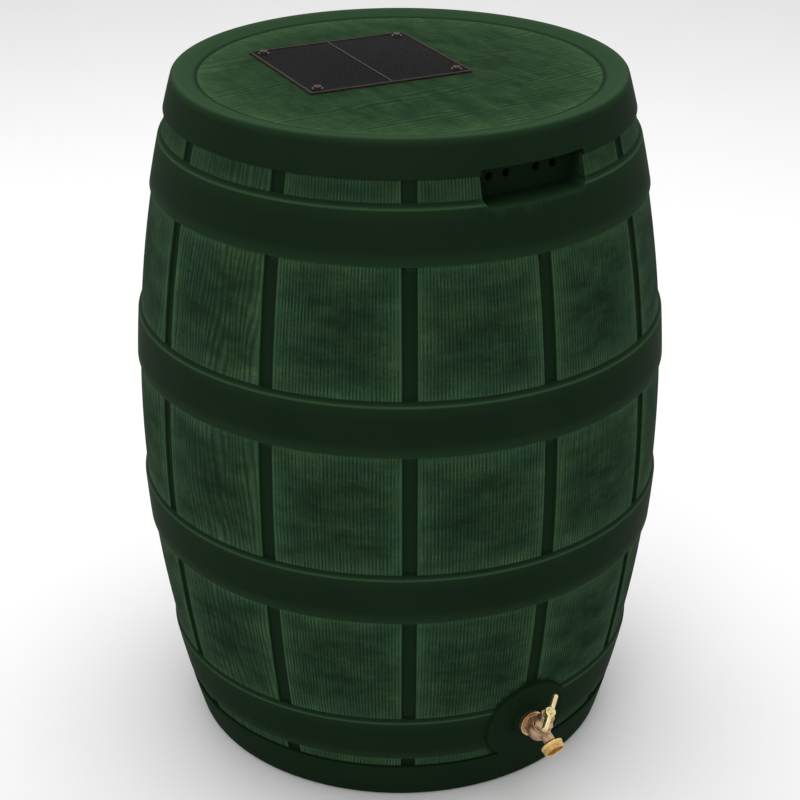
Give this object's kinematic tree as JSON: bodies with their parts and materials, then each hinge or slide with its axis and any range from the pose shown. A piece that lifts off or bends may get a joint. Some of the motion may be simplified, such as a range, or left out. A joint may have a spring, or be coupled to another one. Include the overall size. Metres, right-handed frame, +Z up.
{
  "type": "rain barrel",
  "caption": "Upright stave-look plastic rain barrel with moulded hoops, a screened inlet in its dished top, an overflow recess under the rim and a brass tee-handle tap near the foot.",
  "frame": {"origin": "centre of the flat base, on the floor, on the barrel's axis", "axes": "+Z up along the barrel's axis; -Y towards the tap and the overflow recess; +X to the right seen from the tap side"},
  "size_m": [0.6434, 0.6774, 0.84],
  "materials": {
    "barrel_green": "matt moulded wood grain with smooth hoops",
    "mesh_black": "fine woven screen",
    "binding_brown": "satin",
    "wire_grey": "satin",
    "screw_bronze": "dark plated",
    "insert_brass": "turned",
    "rubber_black": "moulded",
    "cast_brass": "dull as-cast skin",
    "fibre_brown": "pressed fibre",
    "packing_grey": "graphite yarn",
    "machined_brass": "bright turned",
    "handle_brass": "tumbled bright casting"
  },
  "bodies": {
    "barrel": {"barrel_shell": "barrel_green", "screen_mesh": "mesh_black", "screen_edge_binding": "binding_brown", "screen_centre_wire": "wire_grey", "screen_washers": "screw_bronze", "screen_screws": "screw_bronze", "screen_inserts": "insert_brass", "tap_insert": "insert_brass", "tap_gasket": "rubber_black", "tap_body": "cast_brass", "bonnet_gasket": "fibre_brown", "bonnet": "cast_brass", "stem_packing": "packing_grey", "packing_nut": "cast_brass"},
    "valve_disc": {"disc_holder": "machined_brass", "seat_washer": "rubber_black", "washer_screw": "machined_brass"},
    "handle": {"valve_stem": "machined_brass", "tee_handle": "handle_brass", "handle_screw": "machined_brass"}
  },
  "joints": [
    {"name": "stem_lift", "type": "slide", "parent": "barrel", "child": "valve_disc", "axis": [0, -0.5, 0.866], "range_m": [0, 0.0048]},
    {"name": "handle_turn", "type": "hinge", "parent": "valve_disc", "child": "handle", "pos_m": [0, -0.315, 0.1], "axis": [0, -0.5, 0.866], "range_deg": [0, 540]}
  ],
  "couplings": [
    {"joint": "handle_turn", "follows": "stem_lift", "rad_per_m": 1963.5}
  ]
}
